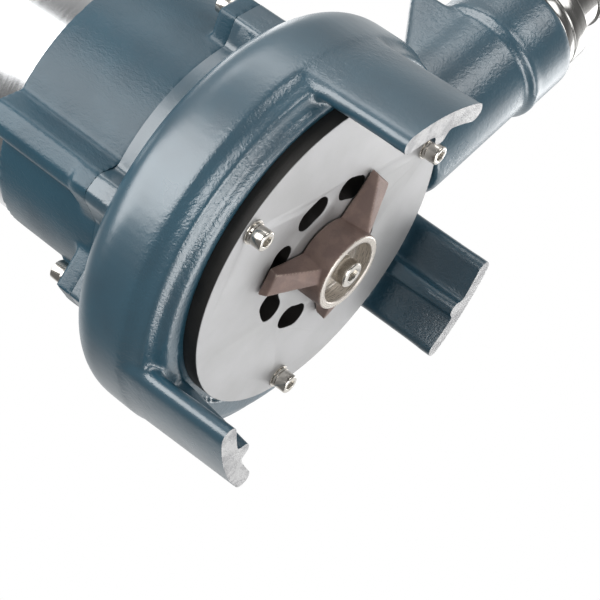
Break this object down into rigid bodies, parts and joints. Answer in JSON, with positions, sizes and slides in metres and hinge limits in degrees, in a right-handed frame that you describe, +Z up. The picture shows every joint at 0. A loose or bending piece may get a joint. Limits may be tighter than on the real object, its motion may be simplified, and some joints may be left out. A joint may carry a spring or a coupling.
{
  "type": "sewage grinder pump",
  "caption": "Upright submersible pump: painted casing on legs with slotted suction plate and bladed cutter, side outlet with union nut, oil chamber, bright motor shell, cover and handle.",
  "frame": {"origin": "on the shaft's axis in the plane of the three leg ends", "axes": "+Z up the shaft towards the handle, +X along the outlet, away from the pump"},
  "size_m": [0.3587, 0.2099, 0.4436],
  "materials": {
    "paint": "textured blue-grey enamel",
    "raw_iron": "as cast, machined on its seats",
    "cutter_iron": "as cast, brown, with a machined ring on the hub",
    "ground_steel": "finely ground",
    "stainless": "turned and polished",
    "screws": "bright stainless",
    "bearing_steel": "ground and polished",
    "brass": "plain",
    "copper": "copper",
    "aluminium": "cast",
    "rubber": "black, matte",
    "ceramic": "lapped ceramic",
    "carbon": "carbon",
    "black_plastic": "moulded",
    "pale_plastic": "moulded"
  },
  "bodies": {
    "pump_body": {"pump_casing": "paint", "suction_plate": "ground_steel", "plate_screws": "screws", "plate_spring_washers": "screws", "plate_flat_washers": "screws", "seal_plate": "raw_iron", "seal_seat": "ceramic", "lip_seal": "rubber", "oil_chamber": "paint", "casing_o_ring": "rubber", "chamber_screws": "screws", "chamber_spring_washers": "screws", "oil_plug": "screws", "oil_plug_washer": "copper", "lower_bearing_outer_ring": "bearing_steel", "stator_core": "ground_steel", "stator_windings": "copper", "motor_shell": "stainless", "shell_o_ring_lower": "rubber", "shell_o_ring_upper": "rubber", "bearing_bracket": "raw_iron", "bracket_screws": "screws", "bearing_wave_washer": "stainless", "upper_bearing_outer_ring": "bearing_steel", "top_cover": "paint", "stay_bolts": "screws", "stay_bolt_washers": "screws", "capacitor": "pale_plastic", "capacitor_clamp": "stainless", "terminal_block": "black_plastic", "terminal_screws": "brass", "gland_body": "stainless", "gland_grommet": "rubber", "gland_nut": "stainless", "handle": "stainless", "handle_grip": "rubber", "handle_screws": "screws", "outlet_gasket": "rubber", "outlet_hose_tail": "stainless"},
    "rotor": {"shaft": "ground_steel", "rotor_core": "ground_steel", "rotor_end_rings": "aluminium", "impeller": "raw_iron", "drive_key": "ground_steel", "cutter": "cutter_iron", "cutter_bolt": "screws", "cutter_spring_washer": "screws", "cutter_flat_washer": "screws", "seal_head": "carbon", "seal_spring": "stainless", "seal_collar": "stainless", "lower_bearing_inner_ring": "bearing_steel", "upper_bearing_inner_ring": "bearing_steel"},
    "lower_cage": {"lower_bearing_balls": "bearing_steel", "lower_bearing_cage": "brass"},
    "upper_cage": {"upper_bearing_balls": "bearing_steel", "upper_bearing_cage": "brass"},
    "union_nut": {"outlet_union_nut": "stainless"}
  },
  "joints": [
    {"name": "rotor_spin", "type": "hinge", "parent": "pump_body", "child": "rotor", "pos_m": [0, 0, 0.1], "axis": [0, 0, 1], "continuous": true},
    {"name": "lower_cage_spin", "type": "hinge", "parent": "pump_body", "child": "lower_cage", "pos_m": [0, 0, 0.1675], "axis": [0, 0, 1], "continuous": true},
    {"name": "upper_cage_spin", "type": "hinge", "parent": "pump_body", "child": "upper_cage", "pos_m": [0, 0, 0.3185], "axis": [0, 0, 1], "continuous": true},
    {"name": "union_nut_turn", "type": "hinge", "parent": "pump_body", "child": "union_nut", "pos_m": [0.198, 0.024, 0.068], "axis": [1, 0, 0], "continuous": true}
  ],
  "couplings": [
    {"joint": "lower_cage_spin", "follows": "rotor_spin", "ratio": 0.39656},
    {"joint": "upper_cage_spin", "follows": "rotor_spin", "ratio": 0.38096}
  ]
}
